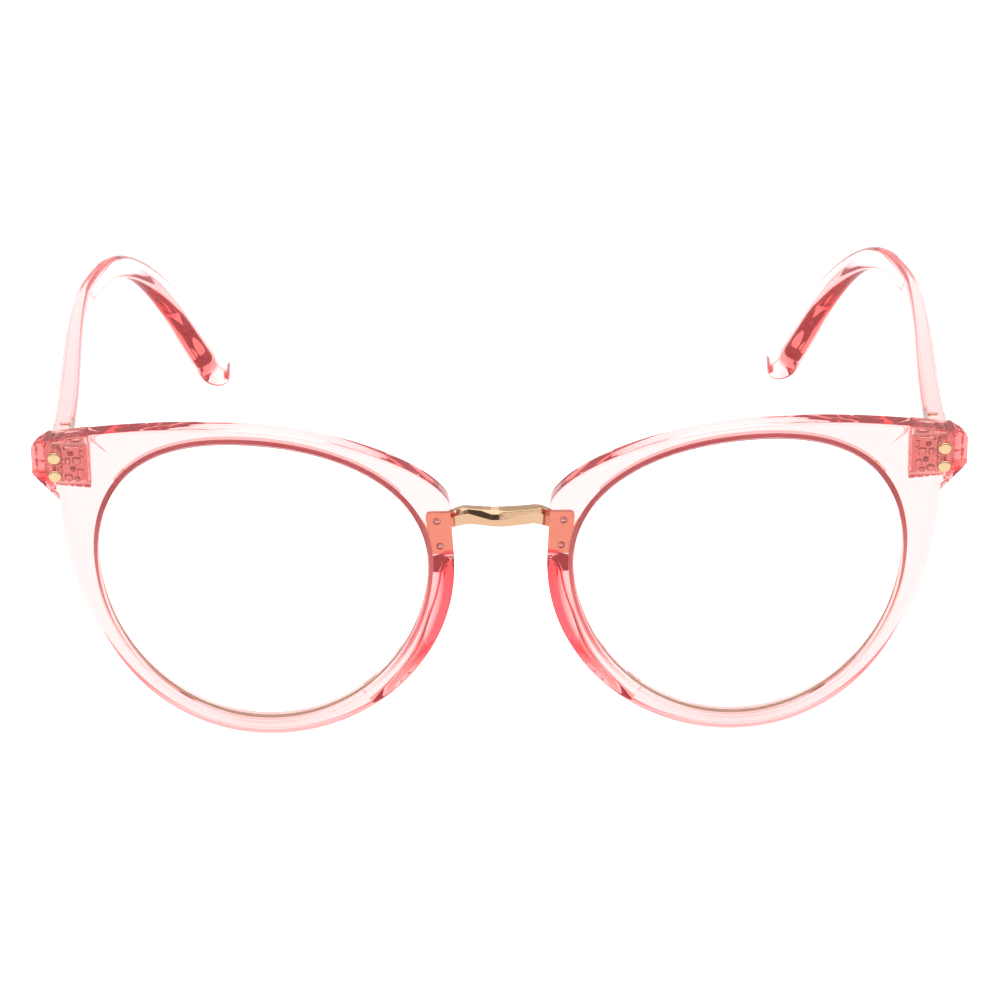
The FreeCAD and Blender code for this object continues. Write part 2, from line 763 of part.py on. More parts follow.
def make_temple_rivets():
    rivets = []
    for word, (back, height) in zip(("front", "rear"), temple_rivet_centres()):
        rivet = headed_pin(f"temple_rivet_{word}_right", cell("rivet_shank") / 2,
                           cell("leaf_thickness") + cell("temple_rivet_bite"),
                           cell("rivet_head") / 2, cell("leaf_clearance") * 4)
        place(rivet, (inner_face + cell("leaf_clearance"), back, height), Y_AXIS, -90)
        rivets.append(rivet)
    return rivets


def make_hinge_screw():
    """The screw that joins the three knuckles, with a slotted head."""
    screw = headed_pin("hinge_screw_right", cell("pin_radius"),
                       cell("leaf_height") + cell("pin_tail"), cell("pin_head") / 2,
                       cell("pin_head_rise"))
    slot = new_sketch(screw, "hinge_screw_slot", "XY_Plane", cell("pin_head_rise") * 0.5)
    half = cell("pin_head") * 0.1
    draw_rectangle(slot, (-cell("pin_head"), -half), (cell("pin_head"), half))
    add_feature(screw, "Pocket", "hinge_screw_slot_cut", slot, cell("pin_head_rise"), True)
    place(screw, (pin_x, pin_y, cell("hinge_height") + cell("leaf_height") / 2))
    return screw


def temple_section(body, number, along):
    """A rounded rectangle square to the temple's middle line; the first one stands upright."""
    across, back, height, tilt = temple_point(along)
    if number == 0:
        tilt = tilt * 0
    half_x = temple_measure(along, cell("root_thickness"), cell("waist_thickness"),
                            cell("tip_thickness")) / 2
    half_z = temple_measure(along, cell("root_height"), cell("waist_height"),
                            cell("tip_height")) / 2
    sketch = new_sketch(body, f"temple_section_{number}", "XZ_Plane")
    offset = FreeCAD.Placement(FreeCAD.Vector(), FreeCAD.Rotation(X_AXIS, -tilt.value))
    sketch.AttachmentOffset = offset
    bind(sketch, "AttachmentOffset.Base.x", across)
    bind(sketch, "AttachmentOffset.Base.y", height)
    bind(sketch, "AttachmentOffset.Base.z", -back)
    bind(sketch, "AttachmentOffset.Rotation.Angle", -tilt)
    inset = cell("temple_round")
    flat_x = half_x - inset
    flat_z = half_z - inset
    start = (-half_x, -flat_z)
    segments = [
        [(-half_x, flat_z)],
        quarter((-flat_x, flat_z), (-half_x, flat_z), (-flat_x, half_z), ROUND),
        [(flat_x, half_z)],
        quarter((flat_x, flat_z), (flat_x, half_z), (half_x, flat_z), ROUND),
        [(half_x, -flat_z)],
        quarter((flat_x, -flat_z), (half_x, -flat_z), (flat_x, -half_z), ROUND),
        [(-flat_x, -half_z)],
        quarter((-flat_x, -flat_z), (-flat_x, -half_z), start, ROUND),
    ]
    draw_outline(sketch, start, segments)
    return sketch


def make_temple():
    body = new_body("temple_right")
    straight = cell("temple_straight")
    bend = cell("ear_radius") * cell("ear_bend") * (math.pi / 180)
    stations = [straight * share for share in (0, 0.2, 0.4, 0.6, 0.8, 1)]
    stations += [straight + bend * share for share in (1 / 3, 2 / 3, 1)]
    stations += [straight + bend + cell("tip_length") * share for share in (0.5, 1)]
    sections = [temple_section(body, number, along) for number, along in enumerate(stations)]
    arm = body.newObject("PartDesign::AdditiveLoft", "temple_arm")
    arm.Profile = sections[0]
    arm.Sections = sections[1:]
    far = 20
    gap = cell("leaf_clearance")
    sweep = new_sketch(body, "barrel_sweep", "XY_Plane")
    draw_circle(sweep, (pin_x, pin_y), cell("barrel_radius") + cell("sweep_clearance"))
    add_feature(body, "Pocket", "barrel_sweep_cut", sweep)
    recess = new_sketch(body, "temple_leaf_recess", "YZ_Plane",
                        inner_face + gap * 2 + cell("leaf_thickness"))
    start = pin_y + cell("temple_leaf_start")
    middle = cell("hinge_height") - cell("temple_leaf_drop")
    half = cell("temple_leaf_height") / 2 + gap
    draw_rectangle(recess, (start - gap, middle - half),
                   (start + cell("temple_leaf_length") + gap, middle + half))
    add_feature(body, "Pocket", "temple_leaf_recess_cut", recess, as_size(far), False)
    web = new_sketch(body, "temple_web_recess", "YZ_Plane",
                     inner_face + gap * 2 + cell("leaf_thickness"))
    low, high = knuckle_heights()[1]
    draw_rectangle(web, (pin_y - gap, low - gap), (start, high + gap))
    add_feature(body, "Pocket", "temple_web_recess_cut", web, as_size(far), False)
    holes = new_sketch(body, "temple_rivet_holes", "YZ_Plane", inner_face)
    for centre in temple_rivet_centres():
        draw_circle(holes, centre, cell("rivet_shank") / 2 + cell("hole_clearance"))
    add_feature(body, "Pocket", "temple_rivet_cut", holes,
                cell("leaf_clearance") * 2 + cell("leaf_thickness") + cell("temple_rivet_bite"),
                True)
    place(body, (0, 0, 0))
    return body


def mirrored(piece):
    """The left-hand twin of a right-hand piece."""
    twin = doc.addObject("Part::Mirroring", piece.Name.replace("_right", "_left"))
    twin.Label = twin.Name
    twin.Source = piece
    twin.Normal = X_AXIS
    return twin


right = [make_rim(), make_lens(), make_front_leaf(), make_temple_leaf(), make_hinge_screw(),
         make_temple()]
right += make_bridge_screws() + make_rivets() + make_temple_rivets()
pieces = right + [mirrored(piece) for piece in right] + [make_bridge()]
doc.recompute()

for item in doc.Objects:
    if "Invalid" in item.State or "Error" in item.State:
        raise RuntimeError(f"{item.Label} failed: {item.State}")
for piece in pieces:
    if piece.Shape.isNull() or not piece.Shape.isValid() or not piece.Shape.Solids:
        raise RuntimeError(f"{piece.Label} has no valid solid")

os.makedirs("parts", exist_ok=True)
for piece in pieces:
    piece.Shape.exportStep(f"parts/{piece.Label}.step")
    print(piece.Label, len(piece.Shape.Solids), "solid", round(piece.Shape.Volume, 2), "mm3")
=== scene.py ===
import bpy
import math
import numpy as np
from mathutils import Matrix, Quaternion, Vector


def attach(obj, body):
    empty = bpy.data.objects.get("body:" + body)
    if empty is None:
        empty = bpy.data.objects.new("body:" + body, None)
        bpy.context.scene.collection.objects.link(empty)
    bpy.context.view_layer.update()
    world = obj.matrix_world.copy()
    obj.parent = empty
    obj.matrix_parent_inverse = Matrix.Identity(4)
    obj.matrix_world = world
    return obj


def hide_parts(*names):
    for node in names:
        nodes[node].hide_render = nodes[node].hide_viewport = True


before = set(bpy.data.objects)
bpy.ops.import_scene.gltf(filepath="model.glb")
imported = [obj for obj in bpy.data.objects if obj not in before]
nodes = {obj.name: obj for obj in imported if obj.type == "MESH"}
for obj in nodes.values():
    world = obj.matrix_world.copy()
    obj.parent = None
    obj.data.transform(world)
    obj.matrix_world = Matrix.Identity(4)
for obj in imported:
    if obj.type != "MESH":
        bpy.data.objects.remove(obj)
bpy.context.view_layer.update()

# ---- sizes, in millimetres, counted from the front surface at the middle of a lens ---------------

MM = 0.001
DEPTH_CENTRE = 66.063            # front surface to the frame's origin
LENS_MIDDLE = (36.3, 26.2)       # where the lens's rings shrink to
NOSE_EDGE = 11.0                 # lens opening
TEMPLE_EDGE = 61.0
OPENING_LOW = 2.4
OPENING_HIGH = 49.4
WIDEST = 29.3                    # height where the opening is widest
CROWN = 39.5                     # where it is highest, and where it is lowest
BASE = 36.4
RIM_TOP = 51.9
NOSE_WALL = 7.5                  # above the bridge plates
NOSE_FOOT = 7.03                 # below them
RIM_DEPTH = 3.4
WRAP_RADIUS = 250.0
FACE_FORM = math.radians(4.0)
WRAP_X = (NOSE_EDGE + TEMPLE_EDGE) / 2 - WRAP_RADIUS * math.sin(FACE_FORM)
WRAP_Y = WRAP_RADIUS * math.cos(FACE_FORM)
END_TIP = 70.6                   # end piece
END_LOW = 42.7
END_HIGH = 46.7
END_TOP = 48.3
END_CROWN = 1.6
END_SLOPE = 3.9
END_BEVEL_X = 69.4
END_BACK_BEVEL_X = 67.2
FRONT_BEVEL = 0.7                # drop of the front bevel to its width
SEAT_INNER = 61.55               # hinge seat
SEAT_FOOT = 40.3
SEAT_RISE = 1.5
SEAT_STEP = 0.3                  # width of the short slope round the seat
SEAT_FADE = 1.8                  # width over which it eases off under the top edge
TEMPLE_X = 66.6
PLATE_TOP = 37.4
PLATE_FOOT = 30.3
PLATE_THICKNESS = 0.9
PAD_TOP = 30.0
PAD_RISE = 2.6                   # how far it stands behind the plate's back
PAD_SLOPE = 4.4                  # height over which the pad's top grows to its full depth
PAD_FOOT = 9.0                   # the pad rises above this height, over PAD_RUN
PAD_RUN = 11.0
PAD_EDGE = 1.1                   # width of the pad's rear face
PAD_LEAN = 0.39                  # lean of the nose side off the nose, to its depth
NOSE_BULGE = (7.0, 29.0)         # the rim's nearest point to the nose
LENS_LIP = 0.9                   # plastic ahead of the lens
LENS_THICKNESS = 1.6
GROOVE = 0.8                     # depth of the lens groove
HINGE_Z = 43.9
ROUND = 0.5523                   # handle share that makes a quarter ellipse
SIDES = (("right", 1), ("left", -1))


def surface_y(across, behind):
    """Depth of the wrapped surface: an upright cylinder, a stated distance behind the front one."""
    return WRAP_Y - np.sqrt((WRAP_RADIUS - behind) ** 2 - (across - WRAP_X) ** 2)


SEAT_Y = float(surface_y(TEMPLE_X, RIM_DEPTH)) + SEAT_RISE
SEAT_FACE = SEAT_Y - 0.05        # the visible seat stops just short of the hinge leaf
PLATE_BACK = float(surface_y(NOSE_WALL, RIM_DEPTH))


# ---- curves -------------------------------------------------------------------------------------

def cubic(points, count):
    """Points along a cubic curve with two handles: the Bernstein sum, without its last point."""
    t = np.linspace(0, 1, count, endpoint=False)[:, None]
    a, b, c, d = [np.array(point, float) for point in points]
    return a * (1 - t) ** 3 + 3 * b * t * (1 - t) ** 2 + 3 * c * t ** 2 * (1 - t) + d * t ** 3


def straight(start, end, count):
    """Points along a straight line, without its last point."""
    t = np.linspace(0, 1, count, endpoint=False)[:, None]
    return np.array(start, float) * (1 - t) + np.array(end, float) * t


def quarter(centre, start, end, square, count):
    """A quarter of a rounded outline: its handles stand a share of the way to the corner."""
    centre, start, end = [np.array(point, float) for point in (centre, start, end)]
    corner = start + end - centre
    return cubic((start, start + (corner - start) * square, end + (corner - end) * square, end),
                 count)


def opening(grow, count):
    """The lens opening as four quarters between its extreme points, grown by a distance."""
    nose = (NOSE_EDGE - grow, WIDEST)
    top = (CROWN, OPENING_HIGH + grow)
    temple = (TEMPLE_EDGE + grow, WIDEST)
    low = (BASE, OPENING_LOW - grow)
    return np.vstack([
        quarter((CROWN, WIDEST), nose, top, 0.59, count),
        quarter((CROWN, WIDEST), top, temple, 0.64, count),
        quarter((BASE, WIDEST), temple, low, ROUND, count),
        quarter((BASE, WIDEST), low, nose, ROUND, count),
    ])


def rim_outline():
    """The rim's outer outline: nose wall, brow, end piece, temple side, bottom and nose side."""
    wall_top = PLATE_TOP + 1.3
    crown = (CROWN + 1, RIM_TOP)
    crown_x = END_TIP - END_CROWN
    slope = (END_TIP - END_SLOPE, END_LOW - END_SLOPE)
    low = (BASE, 0)
    return np.vstack([
        cubic(((NOSE_WALL, wall_top), (NOSE_WALL, wall_top + 4.6), (NOSE_WALL + 14.6, RIM_TOP),
               crown), 150),
        cubic((crown, (CROWN + 11, RIM_TOP), (crown_x - 8.6, END_TOP + 2.3),
               (crown_x, END_TOP)), 100),
        cubic(((crown_x, END_TOP), (crown_x + END_CROWN * ROUND, END_TOP - 0.2),
               (END_TIP, END_TOP - END_CROWN * ROUND), (END_TIP, END_HIGH)), 12),
        straight((END_TIP, END_HIGH), (END_TIP, END_LOW), 16),
        straight((END_TIP, END_LOW), slope, 22),
        cubic((slope, (slope[0] - 0.6, slope[1] * 0.47), (slope[0] - 11.2, 0), low), 170),
        quarter((BASE, NOSE_BULGE[1]), low, NOSE_BULGE, ROUND, 170),
        straight(NOSE_BULGE, (NOSE_FOOT, 30.5), 14),
        straight((NOSE_FOOT, 30.5), (NOSE_WALL, wall_top), 30),
    ])


def ramp(value):
    """Eases from 0 to 1: three times the square less twice the cube."""
    value = np.clip(value, 0, 1)
    return value ** 2 * (3 - 2 * value)


# ---- meshes -------------------------------------------------------------------------------------

def make_mesh(name, points, faces, side=1, sharp=32):
    """A mesh from points in millimetres, with its faces turned outwards by its volume's sign."""
    points = np.array(points, float)
    points[:, 0] *= side
    points[:, 1] -= DEPTH_CENTRE
    points *= MM
    faces = [np.array(part, np.int64) for part in faces if len(part)]
    volume = 0.0
    for part in faces:
        corner = points[part]
        for k in range(1, part.shape[1] - 1):
            volume += np.einsum("ij,ij->i", corner[:, 0],
                                np.cross(corner[:, k], corner[:, k + 1])).sum()
    if volume < 0:
        faces = [part[:, ::-1] for part in faces]
    mesh = bpy.data.meshes.new(name)
    mesh.from_pydata(points.tolist(), [], [face for part in faces for face in part.tolist()])
    mesh.polygons.foreach_set("use_smooth", np.ones(len(mesh.polygons), bool))
    mesh.set_sharp_from_angle(angle=math.radians(sharp))
    mesh.update()
    piece = bpy.data.objects.new(name, mesh)
    bpy.context.scene.collection.objects.link(piece)
    return piece


def grid_faces(rows, columns, closed_rows, closed_columns):
    """Quads of a grid of points, row after row; either way may close on itself."""
    i = np.arange(rows if closed_rows else rows - 1)
    j = np.arange(columns if closed_columns else columns - 1)
    i, j = [part.ravel() for part in np.meshgrid(i, j, indexing="ij")]
    i_next = (i + 1) % rows
    j_next = (j + 1) % columns
    return np.stack([i * columns + j, i * columns + j_next, i_next * columns + j_next,
                     i_next * columns + j], axis=1)


def fan(start, count, centre, flip=False):
    """Triangles from a ring of points to one centre point."""
    ring = np.arange(count)
    a, b = start + ring, start + (ring + 1) % count
    if flip:
        a, b = b, a
    return np.stack([a, b, np.full(count, centre)], axis=1)


def tube(name, rings, side=1, sharp=32):
    """A skin over closed rings of points, closed at both ends by a fan to each end's middle."""
    rings = np.array(rings, float)
    rows, columns = rings.shape[:2]
    points = np.vstack([rings.reshape(-1, 3), rings[0].mean(axis=0), rings[-1].mean(axis=0)])
    faces = [grid_faces(rows, columns, False, True),
             np.vstack([fan(0, columns, rows * columns, True),
                        fan((rows - 1) * columns, columns, rows * columns + 1)])]
    return make_mesh(name, points, faces, side, sharp)


def turned(name, profile, centre, axis, side=1, count=48):
    """A profile of (radius, height) pairs turned about an axis through the centre."""
    profile = np.array(profile, float)
    axis = Vector(axis).normalized()
    first = np.array(axis.orthogonal().normalized())
    second = np.cross(np.array(axis), first)
    angle = np.linspace(0, 2 * math.pi, count, endpoint=False)
    circle = np.cos(angle)[:, None] * first + np.sin(angle)[:, None] * second
    rings = (np.array(centre) + profile[:, 1][:, None, None] * np.array(axis)
             + profile[:, 0][:, None, None] * circle[None])
    return tube(name, rings, side)


# ---- the rim ------------------------------------------------------------------------------------

EDGE = 0.42                      # rounding of the rim's outer edges
INNER_EDGE = 0.18                # rounding of the opening's edges
GROOVE_PLAY = 0.03               # room on each side of the lens in its groove


def facing_opening(outer):
    """For each point of the outer outline, the opening's point at the same angle round the lens."""
    middle = np.array([36.5, 27.5])
    inner = opening(0, 600)
    bearing = np.unwrap(np.arctan2(*(inner - middle).T[::-1]))
    order = np.argsort(bearing)
    wanted = np.arctan2(*(outer - middle).T[::-1])
    return np.stack([np.interp(wanted, bearing[order], inner[order, k], period=2 * math.pi)
                     for k in (0, 1)], axis=1)


def blend(first, second, share):
    """A share of the way from the first value to the second."""
    return first * (1 - share) + second * share


class RimSections:
    """The rim's sections, one at each point of the outer outline, all worked out at once.

    A section starts at the opening's edge and goes outwards along the front, down the outer wall,
    back inwards along the rear and up the inner wall with its lens groove. Each method gives rows
    of points, one point for each section. A distance is counted from the opening outwards.
    """

    def __init__(self, outer):
        self.x, self.z = outer.T
        self.inner = facing_opening(outer)
        self.width = np.linalg.norm(outer - self.inner, axis=1)
        self.along = (outer - self.inner) / self.width[:, None]
        self.step_x = np.where(np.abs(self.along[:, 0]) < 0.05, 0.05, self.along[:, 0])
        self.full = np.ones(len(outer))
        self.front_flat = np.clip((self.x - END_BEVEL_X - EDGE) / 0.3, 0, 1)
        self.back_flat = np.clip((self.x - END_BACK_BEVEL_X - EDGE) / 0.3, 0, 1)
        self.on_top = np.where(self.x > 45, np.clip((self.z - END_HIGH) / 1.2, 0, 1), 0)
        self.shape_nose_side()
        self.bevel_end = surface_y(END_BEVEL_X, 0) + (self.x - END_BEVEL_X) * FRONT_BEVEL
        self.back_end = self.back_depth(self.width - EDGE, 1.0)
        self.flat_end = SEAT_FACE - (self.x - END_BACK_BEVEL_X)
        self.back_start = (np.minimum(self.reach(END_BACK_BEVEL_X), self.width - EDGE)
                           + self.splay)

    def shape_nose_side(self):
        """The pad's share of its full depth, and how far the outer wall leans off the nose."""
        below_top = PAD_TOP + 0.3 - self.z
        self.nose = (self.x < 20) & (self.z < PAD_TOP + 2)
        pad = np.clip(below_top / PAD_SLOPE, 0, 1) * ramp((self.z - PAD_FOOT) / PAD_RUN)
        self.pad = np.where(self.nose, pad, 0)
        splay = -PAD_LEAN * (RIM_DEPTH + PAD_RISE * self.pad)
        splay = splay * ramp(below_top / 0.4) * ramp((self.z - 1.0) / 9.0)
        self.splay = np.where(self.nose, splay, 0)

    def place(self, distance):
        """Where each section is at a distance: across and height."""
        return self.inner + self.along * distance[:, None]

    def row(self, distance, depth):
        """Points at a distance and at a depth."""
        place = self.place(distance)
        return np.stack([place[:, 0], depth, place[:, 1]], axis=1)

    def reach(self, limit):
        """Distance along each section to an upright plane on the temple side."""
        return np.where(self.x > limit, (limit - self.inner[:, 0]) / self.step_x, self.width)

    def seat(self, place, distance):
        """Rise of the hinge seat: a short step up from the rim's back, eased off to the top."""
        rise = SEAT_FACE - surface_y(place[:, 0], RIM_DEPTH)
        ease = ramp((place[:, 0] - SEAT_INNER) / SEAT_STEP) * ramp((place[:, 1] - SEAT_FOOT) / 0.4)
        return rise * ease * (1 - self.on_top * (1 - ramp((self.width - distance) / SEAT_FADE)))

    def back_depth(self, distance, pad_share):
        """Depth of the rear face: the rim's depth, the hinge seat, the pad, the end bevel."""
        place = self.place(distance)
        depth = surface_y(place[:, 0], RIM_DEPTH) + self.seat(place, distance)
        depth = depth + self.pad * pad_share * (PLATE_BACK + PAD_RISE - depth)
        bevel = SEAT_FACE - np.maximum(place[:, 0] - END_BACK_BEVEL_X, 0)
        return np.where(place[:, 0] > END_BACK_BEVEL_X, np.minimum(depth, bevel), depth)

    def front(self):
        """A small round at the opening's edge, then the front face."""
        face = surface_y(self.inner[:, 0], 0)
        rows = [self.row(self.full * INNER_EDGE * turn, face + INNER_EDGE * (1 - turn))
                for turn in np.linspace(0, 1, 4)[:-1]]
        end = np.minimum(self.reach(END_BEVEL_X), self.width - EDGE)
        for share in np.linspace(0, 1, 14):
            distance = INNER_EDGE + (end - INNER_EDGE) * share
            rows.append(self.row(distance, surface_y(self.place(distance)[:, 0], 0)))
        return rows

    def front_edge(self):
        """The outer edge of the front: a quarter round, or the end piece's flat bevel."""
        rows = []
        bevel_start = self.reach(END_BEVEL_X)
        bevel_y = surface_y(END_BEVEL_X, 0)
        for turn in np.linspace(0, 1, 6)[1:]:
            angle = turn * math.pi / 2
            distance = self.width - EDGE + EDGE * math.sin(angle)
            depth = surface_y(self.x, 0) + EDGE * (1 - math.cos(angle))
            flat_distance = bevel_start + (self.width - bevel_start) * turn
            flat_depth = bevel_y + (self.bevel_end - bevel_y) * turn
            rows.append(self.row(blend(distance, flat_distance, self.front_flat),
                                 blend(depth, flat_depth, self.front_flat)))
        return rows

    def outer_wall(self):
        """The outer wall, which leans off the nose as it goes back."""
        start = blend(surface_y(self.x, 0) + EDGE, self.bevel_end, self.front_flat)
        end = blend(self.back_end - EDGE, self.flat_end, self.back_flat)
        return [self.row(self.width + self.splay * share, start + (end - start) * share)
                for share in np.linspace(0, 1, 8)[1:]]

    def rear_edge(self):
        """The outer edge of the rear, in the same two kinds as the front's."""
        rows = []
        bevel_start = self.reach(END_BACK_BEVEL_X)
        for turn in np.linspace(0, 1, 6)[1:]:
            angle = turn * math.pi / 2
            distance = self.width + self.splay - EDGE * (1 - math.cos(angle))
            depth = self.back_end - EDGE * (1 - math.sin(angle))
            flat_distance = self.width + (bevel_start - self.width) * turn
            flat_depth = self.flat_end + (self.x - END_BACK_BEVEL_X) * turn
            rows.append(self.row(blend(distance, flat_distance, self.back_flat),
                                 blend(depth, flat_depth, self.back_flat)))
        return rows

    def rear_face(self):
        """The rear face inwards, with rows close together at the step of the seat or the pad."""
        start = self.back_start
        on_seat = (self.x > SEAT_INNER + 1.5) & (self.z > 36)
        seat_top = (SEAT_INNER + SEAT_STEP + 0.02 - self.inner[:, 0]) / self.step_x
        seat_bottom = (SEAT_INNER - 0.02 - self.inner[:, 0]) / self.step_x
        outer = np.where(on_seat, seat_top, start * 0.6)
        inner = np.where(on_seat, seat_bottom, start * 0.3)
        outer = np.where(self.nose, start - PAD_EDGE, np.minimum(outer, start * 0.85))
        inner = np.where(self.nose, INNER_EDGE * 2, np.minimum(inner, outer - 0.1))
        outer = np.maximum(outer, INNER_EDGE * 3)
        inner = np.clip(inner, INNER_EDGE * 2, outer - 0.1)
        rows = []
        for share in np.linspace(0, 1, 18)[1:]:
            distance = start + (outer - start) * share
            rows.append(self.row(distance, self.back_depth(distance, 1.0)))
        for share in np.linspace(0, 1, 10)[1:]:
            distance = outer + (inner - outer) * share
            rows.append(self.row(distance, self.back_depth(distance, 1 - ramp(share))))
        for share in np.linspace(0, 1, 12)[1:]:
            distance = inner + (INNER_EDGE - inner) * share
            rows.append(self.row(distance, self.back_depth(distance, 0.0)))
        return rows

    def inner_wall(self):
        """A small round at the rear, then the inner wall with its lens groove."""
        front = surface_y(self.inner[:, 0], 0)
        rear = surface_y(self.inner[:, 0], RIM_DEPTH)
        rows = [self.row(self.full * INNER_EDGE * (1 - turn), rear - INNER_EDGE * turn)
                for turn in (0.34, 0.67, 1.0)]
        groove_back = front + LENS_LIP + LENS_THICKNESS + GROOVE_PLAY
        groove_front = front + LENS_LIP - GROOVE_PLAY
        for bottom, depth in ((0, groove_back), (GROOVE, groove_back), (GROOVE, groove_front),
                              (0, groove_front)):
            rows.append(self.row(self.full * bottom, depth))
        return rows


def make_rim(side_name, side):
    """The clear rim with its end piece, hinge seat and nose pad: its sections close into a ring."""
    shape = RimSections(rim_outline())
    rings = np.stack(shape.front() + shape.front_edge() + shape.outer_wall()
                     + shape.rear_edge() + shape.rear_face() + shape.inner_wall(), axis=1)
    faces = [grid_faces(rings.shape[0], rings.shape[1], True, True)]
    rim = make_mesh(f"clear_rim_{side_name}", rings.reshape(-1, 3), faces, side, 30)
    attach(rim, "front")
    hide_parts(f"rim_{side_name}")
    return rim


def make_lens(side_name, side):
    """The lens: its outline shrunk to its middle in rings, with a ground edge of two slopes."""
    outline = opening(0.02, 80)
    apex = opening(GROOVE - 0.04, 80)
    middle = np.array(LENS_MIDDLE)
    shares = np.linspace(1, 0, 22)[:-1]
    rings = []
    for behind, order in ((LENS_LIP, shares[::-1]), (LENS_LIP + LENS_THICKNESS, shares)):
        for share in order:
            ring = middle + (outline - middle) * share
            rings.append(np.stack([ring[:, 0], surface_y(ring[:, 0], behind), ring[:, 1]], axis=1))
        if behind == LENS_LIP:
            edge = surface_y(apex[:, 0], LENS_LIP + LENS_THICKNESS / 2)
            rings.append(np.stack([apex[:, 0], edge, apex[:, 1]], axis=1))
    lens = tube(f"clear_lens_{side_name}", rings, side)
    # the two bands of faces that meet at the apex take the second material
    edge_faces = np.zeros(len(lens.data.polygons), np.int32)
    edge_faces[(len(shares) - 1) * len(outline):(len(shares) + 1) * len(outline)] = 1
    lens.data.polygons.foreach_set("material_index", edge_faces)
    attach(lens, "front")
    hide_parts(f"lens_{side_name}")
    return lens


# ---- the temple ---------------------------------------------------------------------------------

STRAIGHT = 90.0
DIP = math.radians(6.2)
EAR_RADIUS = 31.0
EAR_BEND = math.radians(65.0)
TIP_LENGTH = 13.1
TEMPLE_LENGTH = STRAIGHT + EAR_RADIUS * EAR_BEND + TIP_LENGTH
TEMPLE_ROUND = 0.95              # corner radius along the straight part
EAR_ROUND = 1.6                  # what the ear part adds to it
ROOT_ROUND = 0.35                # rounding of the hinge end
TIP_ROUND = 2.3
BOW = 3.1                        # outward bow of the temple, and the share of its length it takes
BOW_SHARE = 0.54
INCURVE = 19.5                   # inward turn of the rest
INCURVE_POWER = 1.6
WAIST_SHARE = 0.73
RELIEF = 0.12                    # flat let into the inner side for the hinge leaf


def eased_measure(along, root, waist, tip):
    """A measure that eases from root to waist at most of the length, then to the tip."""
    turn = TEMPLE_LENGTH * WAIST_SHARE
    return np.where(along < turn, root + (waist - root) * ramp(along / turn),
                    waist + (tip - waist) * ramp((along - turn) / (TEMPLE_LENGTH - turn)))


def temple_line(along):
    """The temple's middle line: across, depth, height and tilt at each length along it.

    It dips on its way back, bends down on an arc behind the ear and goes straight on to the tip.
    Seen from above it bows outwards first, then turns in by a power of the length.
    """
    run = np.minimum(along, STRAIGHT)
    tilt = DIP + np.clip((along - STRAIGHT) / EAR_RADIUS, 0, EAR_BEND)
    rest = np.maximum(along - STRAIGHT - EAR_RADIUS * EAR_BEND, 0)
    depth = (SEAT_Y + 0.15 + run * math.cos(DIP) + EAR_RADIUS * (np.sin(tilt) - math.sin(DIP))
             + rest * np.cos(tilt))
    height = (HINGE_Z - run * math.sin(DIP) - EAR_RADIUS * (math.cos(DIP) - np.cos(tilt))
              - rest * np.sin(tilt))
    bow = TEMPLE_LENGTH * BOW_SHARE
    past_bow = np.clip((along - bow) / (TEMPLE_LENGTH - bow), 0, 1)
    across = np.where(along < bow, TEMPLE_X + BOW * ramp(along / bow),
                      TEMPLE_X + BOW - INCURVE * past_bow ** INCURVE_POWER)
    return across, depth, height, tilt


def rounded_rectangles(half_x, half_z, corner):
    """Rounded rectangles, one a row: a quarter circle at each corner, then points of a side."""
    angle = np.linspace(0, math.pi / 2, 7)
    ring = []
    for sx, sz in ((1, 1), (-1, 1), (-1, -1), (1, -1)):
        swing = angle if sx == sz else angle[::-1]
        for a in swing:
            ring.append((sx * (half_x - corner + corner * math.cos(a)),
                         sz * (half_z - corner + corner * math.sin(a))))
        for share in (0.5, 0.0, -0.5):
            if sx == sz:
                ring.append((sx * (half_x - corner) * share, sz * half_z))
            else:
                ring.append((sx * half_x, sz * (half_z - corner) * share))
    return [np.stack(part, axis=1) for part in zip(*ring)]


def make_temple(side_name, side):
    """The temple: rounded rectangles along its line, upright at the hinge, rounded at both ends."""
    root_round = np.linspace(0, math.pi / 2, 7)[:5]
    tip_round = np.linspace(0.1, math.pi / 2, 13)
    along = np.concatenate([
        ROOT_ROUND * (1 - np.cos(root_round)),
        np.linspace(0.5, TEMPLE_LENGTH - TIP_ROUND, 230),
        TEMPLE_LENGTH - TIP_ROUND * (1 - np.sin(tip_round)),
    ])
    inset = np.concatenate([
        ROOT_ROUND * (1 - np.sin(root_round + 0.2)),
        np.zeros(230),
        TIP_ROUND * (1 - np.cos(tip_round)),
    ])
    across, depth, height, tilt = temple_line(along)
    half_x = eased_measure(along, root=3.5, waist=2.3, tip=5.3) / 2 - inset
    half_z = eased_measure(along, root=5.5, waist=4.0, tip=8.6) / 2 - inset
    corner = TEMPLE_ROUND + EAR_ROUND * ramp((along - STRAIGHT) / 30.0)
    corner = np.minimum(corner, np.minimum(half_x, half_z) * 0.95)
    x, z = rounded_rectangles(half_x, half_z, corner)
    relief = RELIEF * (1 - ramp((along - 8.5) / 1.5))
    x = x + relief[:, None] * (x < 0) * np.abs(x) / half_x[:, None]
    tilt = tilt * (1 - ramp(1 - along / 14.0))
    rings = np.stack([
        across[:, None] + x,
        depth[:, None] + z * np.sin(tilt)[:, None],
        height[:, None] + z * np.cos(tilt)[:, None],
    ], axis=2)
    temple = tube(f"clear_temple_{side_name}", rings, side, 40)
    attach(temple, f"temple_arm_{side_name}")
    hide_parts(f"temple_{side_name}")
    return temple


# ---- the metal ----------------------------------------------------------------------------------

